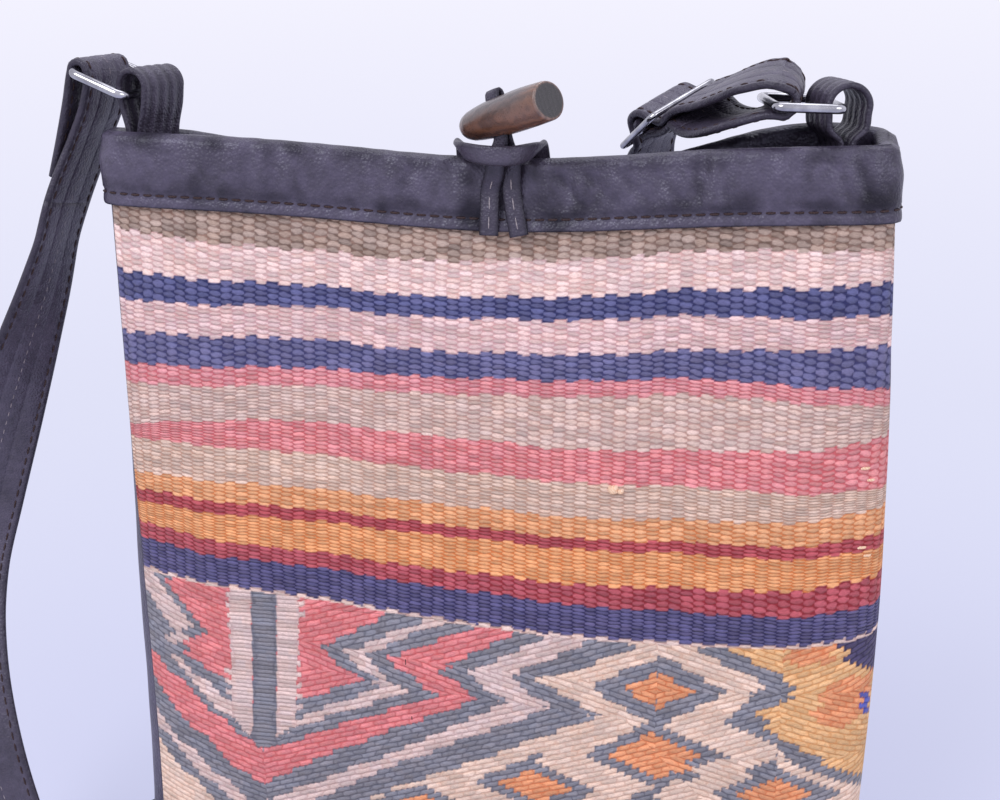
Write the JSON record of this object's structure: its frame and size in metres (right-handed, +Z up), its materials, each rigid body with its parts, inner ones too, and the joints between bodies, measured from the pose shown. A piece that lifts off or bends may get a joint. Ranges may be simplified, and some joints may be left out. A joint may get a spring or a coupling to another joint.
{
  "type": "crossbody bag",
  "caption": "Flat upright crossbody bag with a striped kilim front, leather sides and mouth binding, wooden toggle closure and an adjustable leather strap on wire rings.",
  "frame": {"origin": "centre of the flat base, on the surface the bag stands on", "axes": "+Z up to the mouth, the kilim front faces -Y, +X to the right seen from the front"},
  "size_m": [0.3257, 0.1785, 0.2975],
  "materials": {
    "kilim": "flat woven wool",
    "bag_leather": "satin grain",
    "strap_leather": "satin grain",
    "lining": "plain weave",
    "hardware": "polished",
    "toggle_wood": "oiled"
  },
  "bodies": {
    "bag": {"front_panel": "kilim", "back_panel": "bag_leather", "left_gusset": "bag_leather", "right_gusset": "bag_leather", "base_panel": "bag_leather", "lining": "lining", "mouth_band": "bag_leather", "left_tab": "strap_leather", "right_tab": "strap_leather", "strap": "strap_leather", "toggle_thong": "strap_leather", "closing_loop": "strap_leather"},
    "left_ring": {"left_ring": "hardware"},
    "right_ring": {"right_ring": "hardware"},
    "slider": {"slider": "hardware"},
    "toggle": {"toggle": "toggle_wood"}
  },
  "joints": [
    {"name": "left_ring_swing", "type": "hinge", "parent": "bag", "child": "left_ring", "pos_m": [-0.11098, 0.0002, 0.2853], "axis": [0.225, 0.9744, 0], "range_deg": [-30, 35], "deforming": ["strap"]},
    {"name": "right_ring_swing", "type": "hinge", "parent": "bag", "child": "right_ring", "pos_m": [0.10412, -0.00024, 0.2846], "axis": [-0.1392, 0.9903, 0], "range_deg": [-12, 35], "deforming": ["strap"]},
    {"name": "slider_slide", "type": "slide", "parent": "bag", "child": "slider", "axis": [0.4474, -0.7293, 0.5176], "range_m": [-0.004, 0.006], "deforming": ["strap"]},
    {"name": "toggle_turn", "type": "hinge", "parent": "bag", "child": "toggle", "pos_m": [0.0045, -0.0147, 0.2807], "axis": [-0.2186, 0.1939, 0.9564], "range_deg": [-60, 60], "deforming": ["toggle_thong"]}
  ]
}
